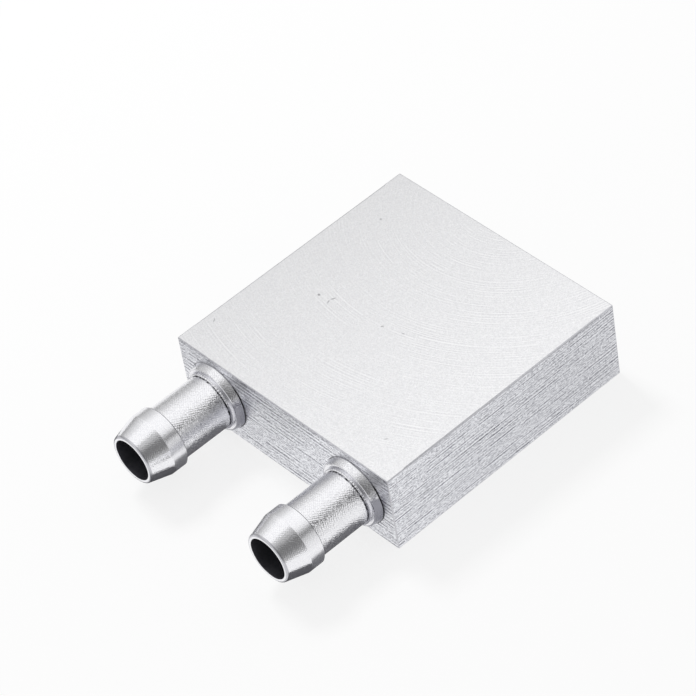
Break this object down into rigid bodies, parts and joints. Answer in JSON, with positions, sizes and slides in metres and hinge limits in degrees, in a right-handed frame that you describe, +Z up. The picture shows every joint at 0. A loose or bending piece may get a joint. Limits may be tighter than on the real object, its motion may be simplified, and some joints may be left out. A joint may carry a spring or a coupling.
{
  "type": "water cooling block",
  "caption": "Flat rectangular aluminium liquid cooling block with internal finned channels and two barbed hose nozzles on one edge.",
  "frame": {"origin": "centre of the block's bottom face", "axes": "+Z up, out of the upper contact face; -Y out of the face that carries the nozzles; X across the two nozzles"},
  "size_m": [0.04, 0.0558, 0.0125],
  "materials": {
    "body_aluminium": "fly-cut faces and ground sides",
    "plate_aluminium": "ground",
    "nozzle_aluminium": "bright turned"
  },
  "bodies": {
    "root": {"channel_body": "body_aluminium", "front_end_plate": "plate_aluminium", "rear_end_plate": "plate_aluminium", "left_nozzle": "nozzle_aluminium", "right_nozzle": "nozzle_aluminium"}
  },
  "joints": []
}
